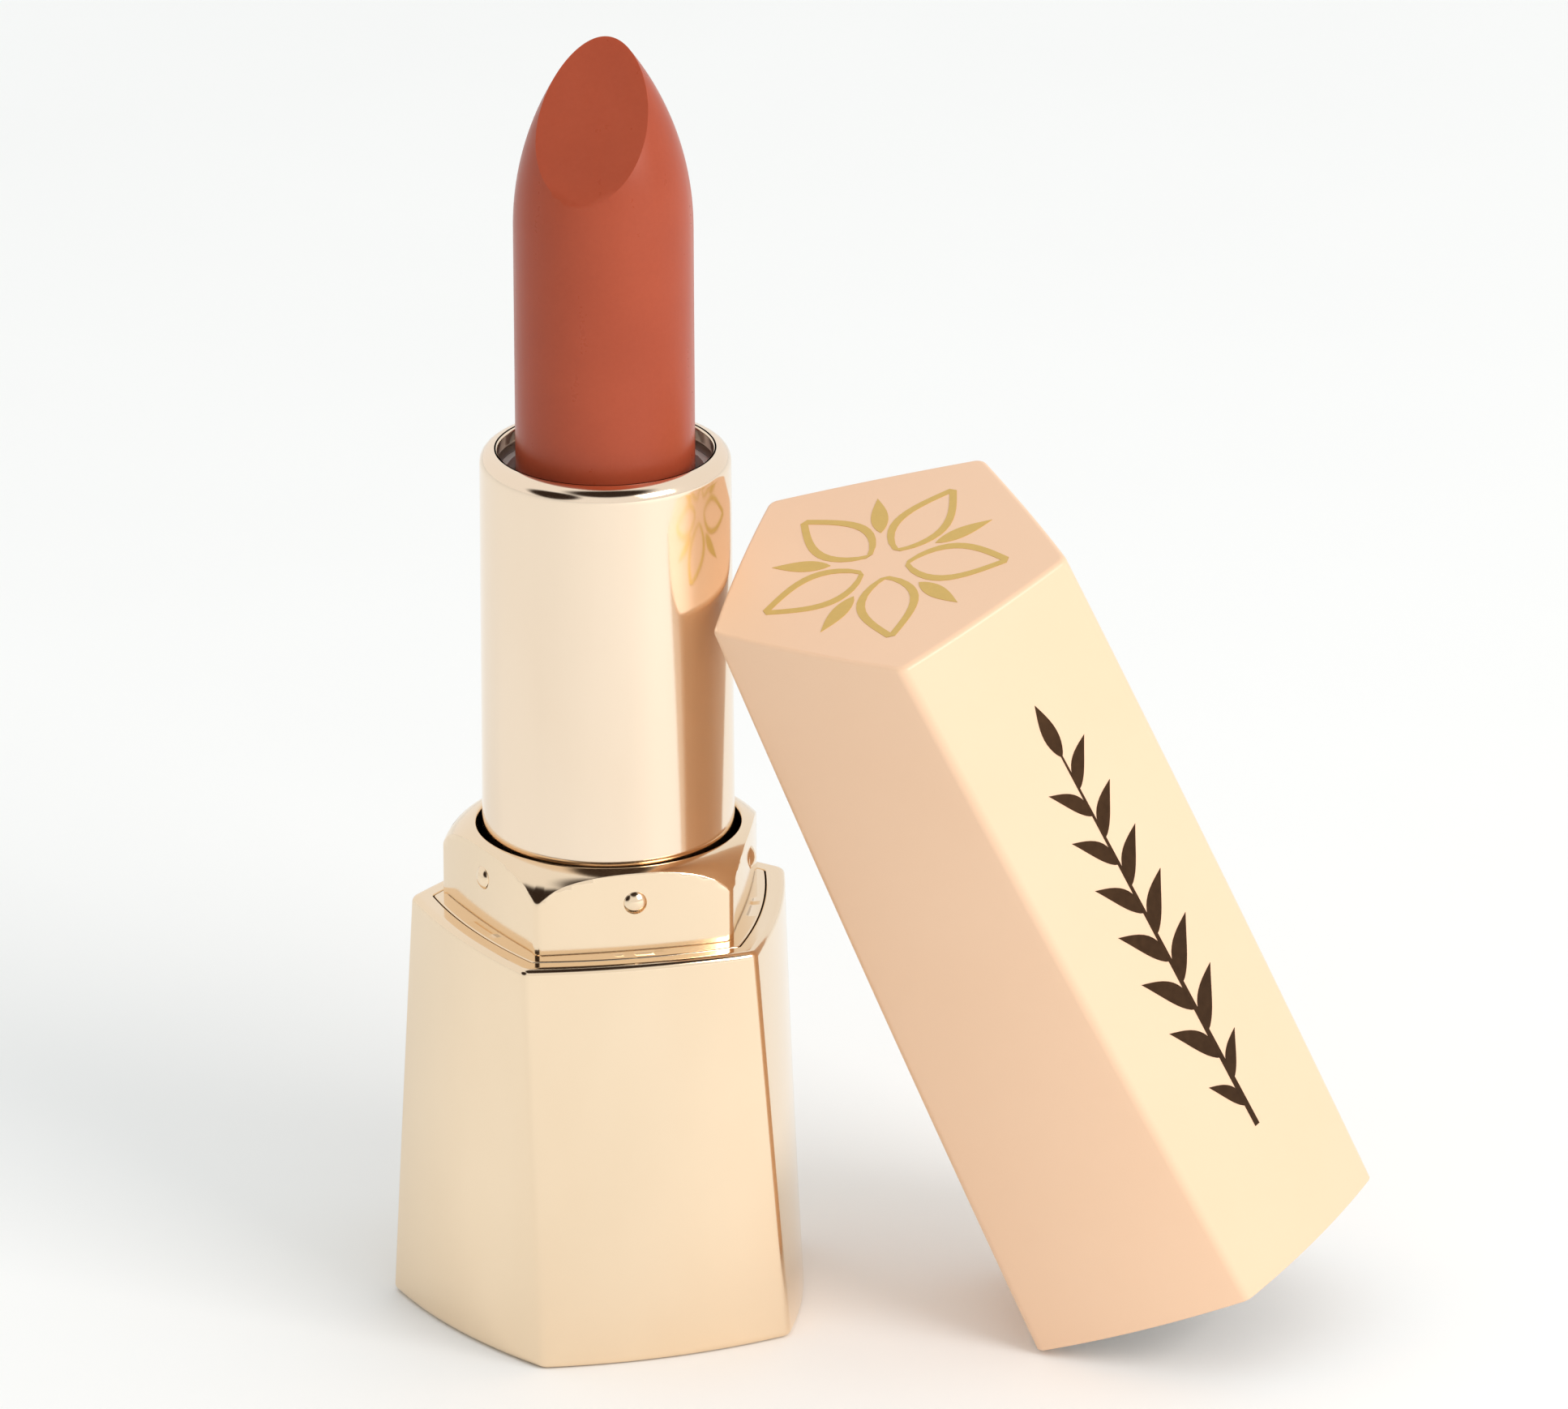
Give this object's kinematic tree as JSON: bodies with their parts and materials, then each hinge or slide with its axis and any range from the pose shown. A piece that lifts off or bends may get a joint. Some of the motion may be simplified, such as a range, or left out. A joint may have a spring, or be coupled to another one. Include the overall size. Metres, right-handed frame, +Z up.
{
  "type": "lipstick case",
  "caption": "Five-sided gold lipstick case with a twist-up stick raised, its peach slant-ended cap off and leaning against the tube.",
  "frame": {"origin": "centre of the base's underside, on the axis of the tube", "axes": "+Z up along the tube; -Y is the front, towards the slanted cut of the stick; +X towards the leaning cap"},
  "size_m": [0.0666, 0.0313, 0.09],
  "materials": {
    "metallised_gold": "mirror gold metallised plastic",
    "tube_gold": "bright anodised, polished",
    "peach_satin": "satin lacquer",
    "stick_terracotta": "satin wax",
    "white_plastic": "natural moulded plastic",
    "clear_grey_plastic": "grey moulded plastic",
    "steel": "plain steel",
    "silicone": "matt silicone",
    "label_paper": "blank matt film"
  },
  "bodies": {
    "base": {"base_shell": "metallised_gold", "bottom_label": "label_paper", "base_weight": "steel", "base_core": "white_plastic", "neck_collar": "metallised_gold", "fork": "clear_grey_plastic", "friction_ring": "silicone"},
    "shell": {"a_shell": "tube_gold", "cam": "white_plastic"},
    "carrier": {"cup": "clear_grey_plastic", "bullet": "stick_terracotta"},
    "cap": {"cap_shell": "peach_satin", "cap_liner": "white_plastic"}
  },
  "joints": [
    {"name": "shell_twist", "type": "hinge", "parent": "base", "child": "shell", "pos_m": [0, 0, 0], "axis": [0, 0, 1], "range_deg": [0, 540]},
    {"name": "carrier_slide", "type": "slide", "parent": "base", "child": "carrier", "axis": [0, 0, 1], "range_m": [-0.031, 0]},
    {"name": "cap_tip", "type": "hinge", "parent": "base", "child": "cap", "pos_m": [0.0284, -0.0042, 0], "axis": [0, 1, 0], "range_deg": [0, 22.3]}
  ],
  "couplings": [
    {"joint": "carrier_slide", "follows": "shell_twist", "m_per_rad": -0.0032892}
  ]
}
